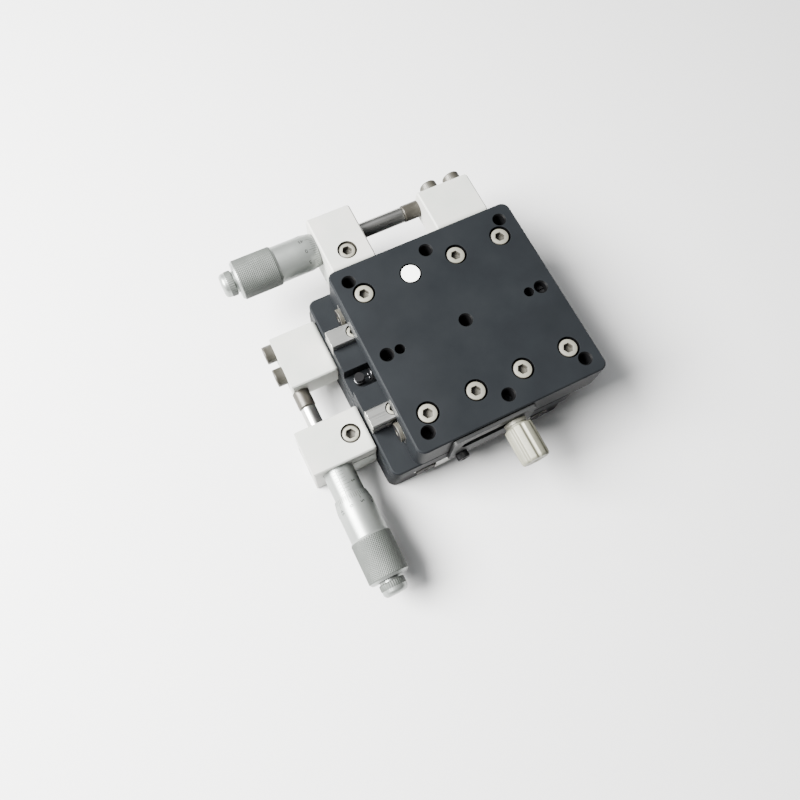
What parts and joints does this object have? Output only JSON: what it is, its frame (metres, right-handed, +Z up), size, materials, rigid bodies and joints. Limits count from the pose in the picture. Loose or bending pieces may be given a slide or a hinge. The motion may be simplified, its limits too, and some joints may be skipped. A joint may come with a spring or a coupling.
{
  "type": "two-axis crossed-roller translation stage",
  "caption": "Low square two-axis stage: stacked crossed-roller slides, a side-mounted micrometer for each axis, a tapped top table and a slotted lock plate with a knob.",
  "frame": {"origin": "centre of the base's underside", "axes": "+Z up from the base to the table; +X along the top axis, away from its micrometer; +Y along the lower axis, away from its micrometer"},
  "size_m": [0.0892, 0.1081, 0.03],
  "materials": {
    "black_anodised": "matte black anodised",
    "clear_anodised": "satin clear anodised",
    "ground_steel": "ground",
    "screw_steel": "nickel plated",
    "satin_chrome": "satin chrome",
    "pin_steel": "hardened, browned",
    "spring_steel": "drawn wire",
    "cage_brass": "sheet",
    "white_cap": "white"
  },
  "bodies": {
    "base": {"base": "black_anodised", "base_rail_left": "ground_steel", "base_rail_right": "ground_steel", "base_rail_screws": "screw_steel", "base_stop_screws": "screw_steel", "base_preload_screws": "screw_steel", "y_bracket": "clear_anodised", "y_bracket_screws": "screw_steel", "y_clamp_screw": "screw_steel", "y_sleeve": "satin_chrome", "y_spring_anchor": "screw_steel"},
    "y_cages": {"y_cage_left": "cage_brass", "y_cage_right": "cage_brass", "y_rollers": "ground_steel"},
    "middle": {"middle_slide": "black_anodised", "lower_rail_left": "ground_steel", "lower_rail_right": "ground_steel", "lower_rail_screws": "screw_steel", "upper_rail_front": "ground_steel", "upper_rail_back": "ground_steel", "upper_rail_screws": "screw_steel", "x_bracket": "clear_anodised", "x_bracket_screws": "screw_steel", "x_clamp_screw": "screw_steel", "x_sleeve": "satin_chrome", "y_anvil_block": "clear_anodised", "y_anvil_screws": "screw_steel", "y_contact_pin": "pin_steel", "x_spring_post": "screw_steel", "y_spring_post": "screw_steel", "x_return_spring": "spring_steel", "y_return_spring": "spring_steel", "lock_plate": "black_anodised", "lock_plate_screws": "screw_steel"},
    "x_cages": {"x_cage_front": "cage_brass", "x_cage_back": "cage_brass", "x_rollers": "ground_steel"},
    "table": {"table": "black_anodised", "table_rail_front": "ground_steel", "table_rail_back": "ground_steel", "table_rail_screws": "screw_steel", "table_stop_screws": "screw_steel", "table_preload_screws": "screw_steel", "screw_cap": "white_cap", "x_anvil_block": "clear_anodised", "x_anvil_screws": "screw_steel", "x_contact_pin": "pin_steel", "x_spring_anchor": "screw_steel"},
    "x_spindle": {"x_spindle": "ground_steel"},
    "x_thimble": {"x_thimble": "satin_chrome", "x_feed_screw": "ground_steel"},
    "x_ratchet": {"x_ratchet": "satin_chrome"},
    "y_spindle": {"y_spindle": "ground_steel"},
    "y_thimble": {"y_thimble": "satin_chrome", "y_feed_screw": "ground_steel"},
    "y_ratchet": {"y_ratchet": "satin_chrome"},
    "lock_washer": {"lock_washer": "screw_steel"},
    "lock_knob": {"lock_screw": "screw_steel", "lock_knob": "screw_steel"}
  },
  "joints": [
    {"name": "y_slide", "type": "slide", "parent": "base", "child": "middle", "axis": [0, 1, 0], "range_m": [-0.006, 0.008], "deforming": ["y_return_spring"]},
    {"name": "y_cage_roll", "type": "slide", "parent": "base", "child": "y_cages", "axis": [0, 1, 0], "range_m": [-0.003, 0.004]},
    {"name": "y_feed", "type": "slide", "parent": "base", "child": "y_spindle", "axis": [0, 1, 0], "range_m": [-0.006, 0.008]},
    {"name": "y_thimble_turn", "type": "hinge", "parent": "y_spindle", "child": "y_thimble", "pos_m": [-0.0428, 0, 0.011], "axis": [0, 1, 0], "range_deg": [-4321, 5761]},
    {"name": "y_ratchet_turn", "type": "hinge", "parent": "y_thimble", "child": "y_ratchet", "pos_m": [-0.0428, 0, 0.011], "axis": [0, 1, 0], "continuous": true},
    {"name": "x_slide", "type": "slide", "parent": "middle", "child": "table", "axis": [1, 0, 0], "range_m": [-0.014, 0], "deforming": ["x_return_spring"]},
    {"name": "x_cage_roll", "type": "slide", "parent": "middle", "child": "x_cages", "axis": [1, 0, 0], "range_m": [-0.007, 0]},
    {"name": "x_feed", "type": "slide", "parent": "middle", "child": "x_spindle", "axis": [1, 0, 0], "range_m": [-0.014, 0]},
    {"name": "x_thimble_turn", "type": "hinge", "parent": "x_spindle", "child": "x_thimble", "pos_m": [0, 0.0418, 0.023], "axis": [1, 0, 0], "range_deg": [-10081, 0]},
    {"name": "x_ratchet_turn", "type": "hinge", "parent": "x_thimble", "child": "x_ratchet", "pos_m": [0, 0.0418, 0.023], "axis": [1, 0, 0], "continuous": true},
    {"name": "lock_feed", "type": "slide", "parent": "table", "child": "lock_washer", "axis": [0, -1, 0], "range_m": [-0.0000875, 0.00035]},
    {"name": "lock_turn", "type": "hinge", "parent": "lock_washer", "child": "lock_knob", "pos_m": [0.007, -0.034, 0.023], "axis": [0, -1, 0], "range_deg": [-45.1, 180.1]}
  ],
  "couplings": [
    {"joint": "x_feed", "follows": "x_slide", "ratio": 1},
    {"joint": "x_thimble_turn", "follows": "x_slide", "rad_per_m": 12566},
    {"joint": "x_cage_roll", "follows": "x_slide", "ratio": 0.5},
    {"joint": "y_feed", "follows": "y_slide", "ratio": 1},
    {"joint": "y_thimble_turn", "follows": "y_slide", "rad_per_m": 12566},
    {"joint": "y_cage_roll", "follows": "y_slide", "ratio": 0.5},
    {"joint": "lock_turn", "follows": "lock_feed", "rad_per_m": 8976}
  ]
}
